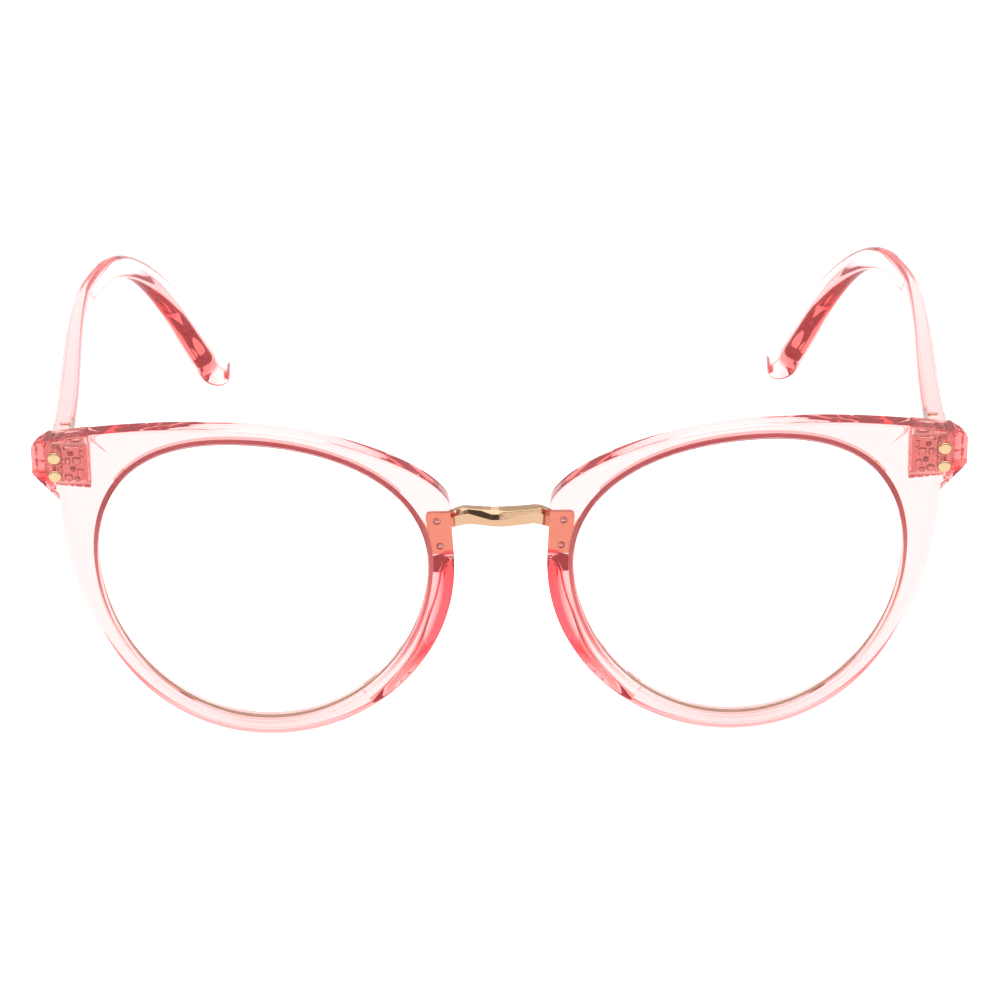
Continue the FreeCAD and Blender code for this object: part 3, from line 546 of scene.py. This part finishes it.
# Hammered facets of the bar, a section each: across, height of the top's back edge, width of the
# chamfer in front of the top, then depth and height of the front's upper edge, ridge and foot.
BAR_FACETS = [
    (-7.40, 37.05, 0.10, 1.90, 36.95, 1.75, 36.20, 1.90, 34.45),
    (-6.60, 37.40, 0.42, 1.85, 37.30, 1.62, 36.60, 1.80, 34.70),
    (-5.60, 37.70, 0.40, 1.75, 37.60, 1.50, 36.90, 1.65, 35.00),
    (-4.80, 37.68, 0.08, 1.70, 37.69, 1.45, 37.00, 1.62, 35.15),
    (-2.90, 37.54, 0.10, 1.72, 37.45, 1.34, 36.40, 1.56, 34.98),
    (-1.30, 37.43, 0.46, 1.62, 37.10, 1.21, 35.97, 1.50, 34.73),
    (-0.20, 37.43, 0.44, 1.45, 37.14, 1.21, 35.97, 1.48, 34.70),
    (0.70, 37.44, 0.08, 1.45, 37.28, 1.19, 36.00, 1.48, 34.68),
    (3.10, 37.56, 0.07, 1.36, 37.40, 1.20, 36.60, 1.50, 34.95),
    (5.10, 37.75, 0.08, 1.38, 37.60, 1.30, 37.20, 1.50, 35.20),
    (6.20, 37.66, 0.10, 1.62, 37.62, 1.47, 36.90, 1.62, 34.90),
    (7.40, 37.10, 0.10, 1.90, 36.95, 1.80, 36.20, 1.90, 34.38),
]


def rounded(corners, radii, count=6):
    """A polygon whose corners are replaced by arcs that touch both sides."""
    outline = []
    for k, radius in enumerate(radii):
        here, before, after = [np.array(corners[j % len(corners)], float)
                               for j in (k, k - 1, k + 1)]
        first = (before - here) / np.linalg.norm(before - here)
        second = (after - here) / np.linalg.norm(after - here)
        start, end = here + first * radius, here + second * radius
        for t in np.linspace(0, 1, count):
            outline.append(start * (1 - t) ** 2 + here * 2 * t * (1 - t) + end * t ** 2)
    return outline


def make_bridge():
    """The hammered bar: six-cornered sections joined by flat facets, with a plate at each end."""
    rings = []
    for x, top, cut, edge_y, edge_z, ridge_y, ridge_z, foot_y, foot_z in BAR_FACETS:
        rings.append([
            (x, PLATE_BACK, foot_z),
            (x, PLATE_BACK, top),
            (x, edge_y + cut, edge_z + cut * 0.25),
            (x, edge_y, edge_z - cut * 0.75),
            (x, ridge_y, ridge_z),
            (x, foot_y, foot_z),
        ])
    bar = tube("hammered_bar", rings, 1, 4)
    bevel = bar.modifiers.new("worn_edges", "BEVEL")
    bevel.width = 0.06 * MM
    bevel.segments = 3
    bevel.limit_method = "ANGLE"
    bevel.angle_limit = math.radians(5)
    bevel.harden_normals = True
    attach(bar, "front")
    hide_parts("bridge")
    pieces = [bar]
    foot_outer, top_outer = 10.7, 11.35
    for side_name, side in SIDES:
        corners = [(NOSE_FOOT + 0.05, PLATE_FOOT), (foot_outer, PLATE_FOOT),
                   (top_outer, PLATE_TOP), (NOSE_WALL - 0.05, PLATE_TOP)]
        outline = rounded(corners, (0.15, 0.35, 0.9, 0.15))
        rings = [[(x, y, z) for x, z in outline]
                 for y in (PLATE_BACK - PLATE_THICKNESS, PLATE_BACK + 0.02)]
        plate = tube(f"bridge_plate_{side_name}", rings, side)
        soften(plate, 0.1)
        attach(plate, "front")
        pieces.append(plate)
    return pieces


def make_screws():
    """Bridge screws: a domed end ahead of the plate, a shank, and a low head behind the plate."""
    made = []
    shank, dome, head, rim, crown = 0.58, 0.34, 0.85, 0.16, 0.2
    back = PLATE_THICKNESS + 0.02
    swing = np.linspace(0.08, math.pi / 2, 8)
    profile = [(shank * math.sin(a), dome * math.cos(a)) for a in swing]
    profile += [(shank, -back), (head, -back), (head, -back - rim)]
    profile += [(head * math.cos(a), -back - rim - crown * math.sin(a)) for a in swing[:-1]]
    for side_name, side in SIDES:
        for word, across, height in (("upper", 9.6, 35.9), ("lower", 9.2, 31.7)):
            screw = turned(f"bridge_screw_{word}_{side_name}", profile,
                           (across, PLATE_BACK - PLATE_THICKNESS, height), (0, -1, 0), side)
            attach(screw, "front")
            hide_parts(f"bridge_screw_{word}_{side_name}")
            made.append(screw)
    return made


def anchor_relief(x, z):
    """Height of the anchor's face: each boss falls off over a short edge, and the highest wins."""
    def boss(centre_x, centre_z, half_x, half_z, height, edge=0.12, power=4):
        """Height of one boss: square with round corners at power 4, round at power 2."""
        away = ((np.abs(x - centre_x) / half_x) ** power
                + (np.abs(z - centre_z) / half_z) ** power) ** (1 / power)
        return 1.5 * height * ramp((1 - away) * min(half_x, half_z) / edge)

    relief = np.maximum.reduce([
        boss(66.25, 43.9, 0.42, 2.8, 0.22),
        boss(64.1, 46.35, 1.55, 0.36, 0.30),
        boss(64.5, 45.45, 0.55, 0.42, 0.42, 0.4, 2),
        boss(64.95, 44.2, 0.42, 0.55, 0.30),
        boss(63.55, 44.25, 0.62, 0.60, 0.26),
        boss(64.15, 42.9, 0.50, 0.50, 0.44, 0.45, 2),
        boss(63.05, 42.2, 0.50, 0.75, 0.24),
        boss(64.9, 41.55, 0.62, 0.38, 0.30),
        boss(62.75, 45.5, 0.32, 0.6, 0.20),
        boss(63.6, 41.3, 0.42, 0.25, 0.20),
    ])
    return relief + 0.02 * np.sin(x * 5.1 + 1.3 * np.sin(z * 2.3)) * np.sin(z * 4.7)


def make_anchors():
    """The hinge's anchor in the plastic ahead of its leaf: a thin pressed plate with low relief."""
    made = []
    inner_x, outer_x, foot, top = 62.2, 66.8, 40.95, 46.85
    plate_front = SEAT_Y - 0.95
    plate_back = SEAT_Y - 0.78
    x, z = np.meshgrid(np.linspace(inner_x, outer_x, 94), np.linspace(foot, top, 120),
                       indexing="ij")
    rim = np.minimum.reduce([x - inner_x, outer_x - x, z - foot, top - z])
    face = plate_front - anchor_relief(x, z) * np.clip(rim / 0.1, 0, 1)
    front = np.stack([x, face, z], axis=2).reshape(-1, 3)
    back = np.stack([x, np.full_like(x, plate_back), z], axis=2).reshape(-1, 3)
    rows, columns = x.shape
    border = np.concatenate([np.arange(columns), np.arange(1, rows) * columns + columns - 1,
                             (rows - 1) * columns + np.arange(columns - 2, -1, -1),
                             np.arange(rows - 2, 0, -1) * columns])
    after = np.roll(border, -1)
    wall = np.stack([border, border + x.size, after + x.size, after], axis=1)
    sheet = grid_faces(rows, columns, False, False)
    faces = [sheet, sheet[:, ::-1] + x.size, wall]
    for side_name, side in SIDES:
        anchor = make_mesh(f"hinge_anchor_{side_name}", np.vstack([front, back]), faces, side, 60)
        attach(anchor, "front")
        made.append(anchor)
    return made


def soften(piece, width):
    """A small round along a metal piece's edges."""
    bevel = piece.modifiers.new("soft_edges", "BEVEL")
    bevel.width = width * MM
    bevel.segments = 3
    bevel.limit_method = "ANGLE"
    bevel.angle_limit = math.radians(30)
    bevel.harden_normals = True


def headed(radius, rise, shank, length):
    """Half outline of a headed pin: a nearly flat top with a quarter round at its edge."""
    swing = np.linspace(0, math.pi / 2, 8)
    edge = rise * 0.7
    crown = [(radius * 0.02, rise), (radius * 0.45, rise - 0.012)]
    crown += [(radius - edge + edge * math.sin(a), rise - 0.03 - edge + edge * math.cos(a))
              for a in swing]
    return crown + [(radius, 0), (shank, 0), (shank, -length), (shank * 0.1, -length)]


def make_rivets():
    """The two gold rivets on the front of each end piece."""
    made = []
    across = 67.0
    face = float(surface_y(across, 0)) - 0.02
    profile = headed(radius=0.97, rise=0.4, shank=0.5, length=0.9)
    for side_name, side in SIDES:
        for word, height in (("upper", 45.8), ("lower", 42.8)):
            rivet = turned(f"end_rivet_{word}_{side_name}", profile, (across, face, height),
                           (0, -1, 0), side)
            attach(rivet, "front")
            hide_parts(f"rivet_{word}_{side_name}")
            made.append(rivet)
    return made


# ---- materials ----------------------------------------------------------------------------------

def linear(code):
    """A hex colour as linear light."""
    parts = [int(code[k:k + 2], 16) / 255 for k in (0, 2, 4)]
    return tuple(p / 12.92 if p <= 0.04045 else ((p + 0.055) / 1.055) ** 2.4 for p in parts) + (1,)


def add(tree, kind, settings=None, links=None):
    """Adds a node, sets its sockets or properties by name, and links sockets from other nodes."""
    node = tree.nodes.new(kind)
    for key, value in (settings or {}).items():
        if isinstance(key, int) or key in node.inputs:
            node.inputs[key].default_value = value
        else:
            setattr(node, key, value)
    for key, source in (links or {}).items():
        tree.links.new(source, node.inputs[key])
    return node


def new_material(name):
    """An empty node material."""
    material = bpy.data.materials.new(name)
    material.use_nodes = True
    tree = material.node_tree
    tree.nodes.clear()
    return material, tree


def fine_noise(tree, size, detail=3.0):
    """Noise in object space, with blotches of a size in millimetres."""
    where = add(tree, "ShaderNodeTexCoord")
    return add(tree, "ShaderNodeTexNoise", {"Scale": 1 / (size * MM), "Detail": detail},
               {"Vector": where.outputs["Object"]})


def spread(tree, source, low, high):
    """Spreads the middle of a noise over a range of values."""
    return add(tree, "ShaderNodeMapRange",
               {"From Min": 0.3, "From Max": 0.7, "To Min": low, "To Max": high},
               {"Value": source})


def tint(tree, source, first, second):
    """Mixes two close sRGB colours by a noise."""
    mix = add(tree, "ShaderNodeMix", {"data_type": "RGBA"})
    tree.links.new(source, mix.inputs["Factor"])
    mix.inputs[6].default_value = linear(first)
    mix.inputs[7].default_value = linear(second)
    return mix.outputs[2]


def painted_pad_red_share(tree):
    """How far a point is inside the nose side's outer band, where painted shade makes it redder,
    standing in for the red that long light paths through the thick pad give.

    The band follows the outline: its edge moves out with the square of the drop below 28 mm,
    by 21.8 per metre. It fades in above the rim's bottom and ends under the bridge plate.
    """
    bulge, curve = 28.0, 21.8
    band_edge = (8.4, 9.6)
    ends = ((6.0, 14.0), (30.3, 29.9))
    place = add(tree, "ShaderNodeTexCoord")
    parts = add(tree, "ShaderNodeSeparateXYZ", None, {"Vector": place.outputs["Object"]})
    across = add(tree, "ShaderNodeMath", {"operation": "ABSOLUTE"}, {0: parts.outputs["X"]})
    drop = add(tree, "ShaderNodeMapRange",
               {"From Min": bulge * MM, "From Max": 0.0, "To Min": 0.0, "To Max": bulge * MM},
               {"Value": parts.outputs["Z"]})
    square = add(tree, "ShaderNodeMath", {"operation": "MULTIPLY"},
                 {0: drop.outputs["Result"], 1: drop.outputs["Result"]})
    shifted = add(tree, "ShaderNodeMath", {"operation": "MULTIPLY_ADD", 1: -curve},
                  {0: square.outputs[0], 2: across.outputs[0]})
    share = add(tree, "ShaderNodeMapRange", {"interpolation_type": "SMOOTHSTEP",
                                             "From Min": band_edge[0] * MM,
                                             "From Max": band_edge[1] * MM,
                                             "To Min": 1.0, "To Max": 0.0},
                {"Value": shifted.outputs[0]})
    for start, end in ends:
        fade = add(tree, "ShaderNodeMapRange", {"From Min": start * MM, "From Max": end * MM},
                   {"Value": parts.outputs["Z"]})
        share = add(tree, "ShaderNodeMath", {"operation": "MULTIPLY"},
                    {0: share.outputs[0], 1: fade.outputs["Result"]})
    return share.outputs[0]


def moulded_pink(name, dye, with_painted_pad_red=False):
    """Injection-moulded clear plastic, dyed pink: light passes, and long paths inside turn red.

    Flow marks some 11 mm long hardly tint it, and the mould's polish varies over 0.7 mm. The dye
    is the absorption per metre. A little glow stands in for light that scatters inside. With the
    nose band, a deeper red is painted on the nose side as shade of long light paths through the
    pad.
    """
    material, tree = new_material(name)
    flow = fine_noise(tree, 11.11, 2.0)
    grain = fine_noise(tree, 0.7143, 4.0)
    bump = add(tree, "ShaderNodeBump", {"Strength": 0.006, "Distance": 0.00002},
               {"Height": flow.outputs["Fac"]})
    colour = tint(tree, flow.outputs["Fac"], "FFFDFD", "FFFFFF")
    # painted shade: a deeper red on the nose side, standing in for long light paths through the
    # thick pad
    if with_painted_pad_red:
        painted_pad_red_colour = add(tree, "ShaderNodeMix", {"data_type": "RGBA"}, {"Factor": painted_pad_red_share(tree)})
        tree.links.new(colour, painted_pad_red_colour.inputs[6])
        painted_pad_red_colour.inputs[7].default_value = linear("FF3040")
        colour = painted_pad_red_colour.outputs[2]
    surface = add(tree, "ShaderNodeBsdfPrincipled", {
        "Transmission Weight": 1.0,
        "IOR": 1.49,
        "Emission Color": (1.0, 0.03, 0.06, 1.0),
        "Emission Strength": 0.06,
    }, {
        "Base Color": colour,
        "Roughness": spread(tree, grain.outputs["Fac"], 0.0, 0.035).outputs["Result"],
        "Normal": bump.outputs["Normal"],
    })
    inside = add(tree, "ShaderNodeVolumeAbsorption", {
        "Color": (0.96, 0.18, 0.15, 1.0),
        "Density": dye,
    })
    add(tree, "ShaderNodeOutputMaterial", None,
        {"Surface": surface.outputs[0], "Volume": inside.outputs[0]})
    return material


def coated_lens():
    """Cast clear lens with an anti-reflection coating: weak reflections, a faint wiping haze.

    The coating is why the index is lower than the lens's own.
    """
    material, tree = new_material("cast_clear_lens_with_coating")
    haze = fine_noise(tree, 28.57, 4.0)
    surface = add(tree, "ShaderNodeBsdfPrincipled", {
        "Transmission Weight": 1.0,
        "IOR": 1.38,
    }, {
        "Base Color": tint(tree, haze.outputs["Fac"], "FFFFFF", "FDFEFF"),
        "Roughness": spread(tree, haze.outputs["Fac"], 0.0, 0.01).outputs["Result"],
    })
    add(tree, "ShaderNodeOutputMaterial", None, {"Surface": surface.outputs[0]})
    return material


def ground_edge():
    """The lens's ground edge in the groove: matt and tan, with red painted over its upper part as
    shade, for the deep red of the brow's thick plastic.
    """
    material, tree = new_material("ground_lens_edge")
    grain = fine_noise(tree, 1.111, 4.0)
    place = add(tree, "ShaderNodeTexCoord")
    height = add(tree, "ShaderNodeSeparateXYZ", None, {"Vector": place.outputs["Object"]})
    # painted shade: the edge turns red towards the top, standing in for the brow's deep red
    brow_red_shade = add(tree, "ShaderNodeMapRange", {"From Min": 0.016, "From Max": 0.038},
                {"Value": height.outputs["Z"]})
    colour = add(tree, "ShaderNodeMix", {"data_type": "RGBA"},
                 {"Factor": brow_red_shade.outputs["Result"]})
    tan = tint(tree, grain.outputs["Fac"], "E6C0AA", "DAB49E")
    red = tint(tree, grain.outputs["Fac"], "A01C28", "941824")
    tree.links.new(tan, colour.inputs[6])
    tree.links.new(red, colour.inputs[7])
    surface = add(tree, "ShaderNodeBsdfPrincipled", {"Specular IOR Level": 0.2}, {
        "Base Color": colour.outputs[2],
        "Roughness": spread(tree, grain.outputs["Fac"], 0.5, 0.7).outputs["Result"],
    })
    add(tree, "ShaderNodeOutputMaterial", None, {"Surface": surface.outputs[0]})
    return material


def polished_metal(name, colours, roughness, cloud_size, pit_depth):
    """Plated metal: two close colours, uneven polish, and pits a seventh of the clouds' size."""
    material, tree = new_material(name)
    cloud = fine_noise(tree, cloud_size, 4.0)
    pits = fine_noise(tree, cloud_size / 7, 3.0)
    bump = add(tree, "ShaderNodeBump", {"Strength": 0.15, "Distance": pit_depth * MM},
               {"Height": pits.outputs["Fac"]})
    surface = add(tree, "ShaderNodeBsdfPrincipled", {"Metallic": 1.0}, {
        "Base Color": tint(tree, cloud.outputs["Fac"], *colours),
        "Roughness": spread(tree, pits.outputs["Fac"], *roughness).outputs["Result"],
        "Normal": bump.outputs["Normal"],
    })
    add(tree, "ShaderNodeOutputMaterial", None, {"Surface": surface.outputs[0]})
    return material


def pale_floor():
    """Matt painted board, lit from inside so that it stays an even white round the piece."""
    material, tree = new_material("matt_white_board")
    mottle = fine_noise(tree, 40.0, 3.0)
    surface = add(tree, "ShaderNodeBsdfPrincipled", {
        "Specular IOR Level": 0.2,
        "Emission Color": (1, 1, 1, 1),
        "Emission Strength": 0.9,
    }, {
        "Base Color": tint(tree, mottle.outputs["Fac"], "B0B0B0", "B4B4B4"),
        "Roughness": spread(tree, mottle.outputs["Fac"], 0.75, 0.85).outputs["Result"],
    })
    add(tree, "ShaderNodeOutputMaterial", None, {"Surface": surface.outputs[0]})
    return material


def dress(piece, *materials):
    """Gives a piece its materials. Clearing them resets each face's choice, so it is put back."""
    chosen = np.zeros(len(piece.data.polygons), np.int32)
    piece.data.polygons.foreach_get("material_index", chosen)
    piece.data.materials.clear()
    for material in materials:
        piece.data.materials.append(material)
    piece.data.polygons.foreach_set("material_index", np.minimum(chosen, len(materials) - 1))


def softbox(name, place, target, size, power):
    """A rectangular lamp that faces a point."""
    lamp = bpy.data.lights.new(name, "AREA")
    lamp.shape = "RECTANGLE"
    lamp.size, lamp.size_y = size
    lamp.energy = power
    holder = bpy.data.objects.new(name, lamp)
    bpy.context.scene.collection.objects.link(holder)
    holder.location = place
    holder.rotation_mode = "QUATERNION"
    holder.rotation_quaternion = (Vector(target) - Vector(place)).to_track_quat("-Z", "Y")


# ---- the glasses --------------------------------------------------------------------------------

# Two batches of dyed clear plastic: the temples are paler, so their long way through stays pink.
# The rim's plastic also gets a painted red shade on its nose side.
pink = moulded_pink("injection_moulded_clear_pink", dye=180.0, with_painted_pad_red=True)
pale_pink = moulded_pink("injection_moulded_clear_pale_pink", dye=108.0)
clear = coated_lens()
ground = ground_edge()
# Rose gold plate, polished after hammering: sharp streaks of light on each facet.
rose = polished_metal("polished_rose_gold_plate", ("BC9A7A", "C8A486"), roughness=(0.06, 0.16),
                      cloud_size=2.857, pit_depth=0.02)
# Pale gold on the rivets: softer, so that each cap shows one broad highlight.
gold = polished_metal("polished_pale_gold", ("C8AA80", "D2B68E"), roughness=(0.10, 0.22),
                      cloud_size=2.0, pit_depth=0.02)
# Satin nickel on hinges and screws: grey, with blurred reflections.
nickel = polished_metal("satin_nickel_plate", ("C4BDB6", "CFC9C3"), roughness=(0.22, 0.38),
                        cloud_size=2.0, pit_depth=0.03)

for side_name, side in SIDES:
    dress(make_rim(side_name, side), pink)
    dress(make_lens(side_name, side), clear, ground)
    dress(make_temple(side_name, side), pale_pink)
for piece in make_bridge():
    dress(piece, rose)
for piece in make_rivets():
    dress(piece, gold)
for piece in make_screws() + make_anchors():
    dress(piece, nickel)
# Hinge leaves, hinge screws and temple rivets keep the frame's own meshes. Those are loose
# triangles, so they are joined up before their edges are softened.
for name, node in nodes.items():
    if "leaf" in name or "hinge_screw" in name:
        metal, edge = nickel, 0.08
    elif "temple_rivet" in name:
        metal, edge = gold, 0.05
    else:
        continue
    dress(node, metal)
    weld = node.modifiers.new("join_triangles", "WELD")
    weld.merge_threshold = 0.002 * MM
    soften(node, edge)

# ---- floor, light and camera --------------------------------------------------------------------

half_board = 6.0
floor_mesh = bpy.data.meshes.new("board")
floor_mesh.from_pydata([(x * half_board, y * half_board, 0)
                        for x, y in ((-1, -1), (1, -1), (1, 1), (-1, 1))], [], [(0, 1, 2, 3)])
floor = bpy.data.objects.new("board", floor_mesh)
bpy.context.scene.collection.objects.link(floor)
dress(floor, pale_floor())

# The studio: bright overhead, even all round, and dim in a small part ahead of the glasses.
OVERHEAD_LEVEL = 2.2
AROUND_LEVEL = 0.9
AHEAD_LEVEL = 0.12
world = bpy.data.worlds.new("bright_studio")
bpy.context.scene.world = world
world.use_nodes = True
tree = world.node_tree
tree.nodes.clear()
direction = add(tree, "ShaderNodeTexCoord")
parts = add(tree, "ShaderNodeSeparateXYZ", None, {"Vector": direction.outputs["Generated"]})
overhead = add(tree, "ShaderNodeMapRange",
               {"interpolation_type": "SMOOTHSTEP", "From Min": 0.6, "From Max": 0.85},
               {"Value": parts.outputs["Z"]})
around = add(tree, "ShaderNodeMapRange",
             {"From Min": -0.93, "From Max": -0.7,
              "To Min": AHEAD_LEVEL, "To Max": AROUND_LEVEL},
             {"Value": parts.outputs["Y"]})
level = add(tree, "ShaderNodeMix", {"data_type": "FLOAT"},
            {"Factor": overhead.outputs["Result"]})
tree.links.new(around.outputs["Result"], level.inputs[2])
level.inputs[3].default_value = OVERHEAD_LEVEL
sky = add(tree, "ShaderNodeBackground", {"Color": (1, 1, 1, 1)}, {"Strength": level.outputs[0]})
add(tree, "ShaderNodeOutputWorld", None, {"Surface": sky.outputs[0]})

softbox("top_softbox", place=(0.0, 0.15, 1.4), target=(0, 0, 0), size=(1.4, 1.1), power=3.0)

# A long lens, 650 mm from the front's middle and 26.8 degrees above level.
CAMERA_DISTANCE = 0.650
CAMERA_LENS = 155.84
CAMERA_TURN = math.radians(-0.66)
elevation = math.radians(26.8)
target = Vector((0.0, -DEPTH_CENTRE * MM, 0.040))
outward = Vector((0.0, -math.cos(elevation), math.sin(elevation)))
camera_data = bpy.data.cameras.new("camera")
camera = bpy.data.objects.new("camera", camera_data)
bpy.context.scene.collection.objects.link(camera)
camera_data.sensor_width = 36.0
camera_data.lens = CAMERA_LENS
camera_data.clip_start = 0.01
camera_data.clip_end = 30.0
camera.location = target + outward * CAMERA_DISTANCE
camera.rotation_mode = "QUATERNION"
camera.rotation_quaternion = ((-outward).to_track_quat("-Z", "Y")
                              @ Quaternion((0, 0, 1), CAMERA_TURN))
bpy.context.scene.camera = camera
bpy.context.scene.view_settings.view_transform = "Standard"
bpy.context.scene.cycles.max_bounces = 32
bpy.context.scene.cycles.transmission_bounces = 32
